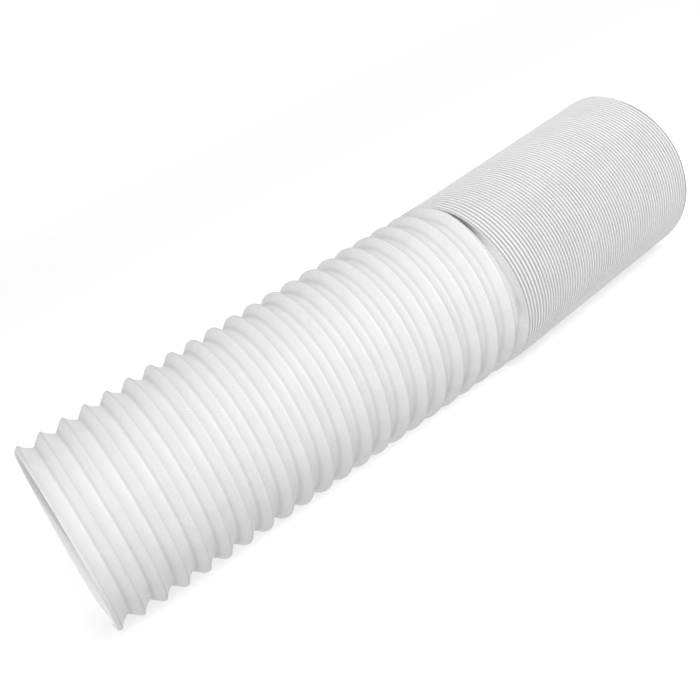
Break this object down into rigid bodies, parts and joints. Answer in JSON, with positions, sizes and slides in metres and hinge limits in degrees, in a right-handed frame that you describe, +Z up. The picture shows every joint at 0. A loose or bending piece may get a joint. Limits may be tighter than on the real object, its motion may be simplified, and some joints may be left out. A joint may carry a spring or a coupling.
{
  "type": "flexible exhaust hose",
  "caption": "Flexible corrugated duct wound from one plastic strip, open at both ends, part stretched out and part pushed together into close folds.",
  "frame": {"origin": "middle of the bounding box on the floor plane the hose lies on", "axes": "+X along the stretched part, from its open mouth towards the folded part; +Z up; the folded part turns 8.2 degrees towards +Y"},
  "size_m": [0.5916, 0.1784, 0.15],
  "materials": {
    "hose": "satin"
  },
  "bodies": {
    "root": {"hose": "hose"}
  },
  "joints": []
}
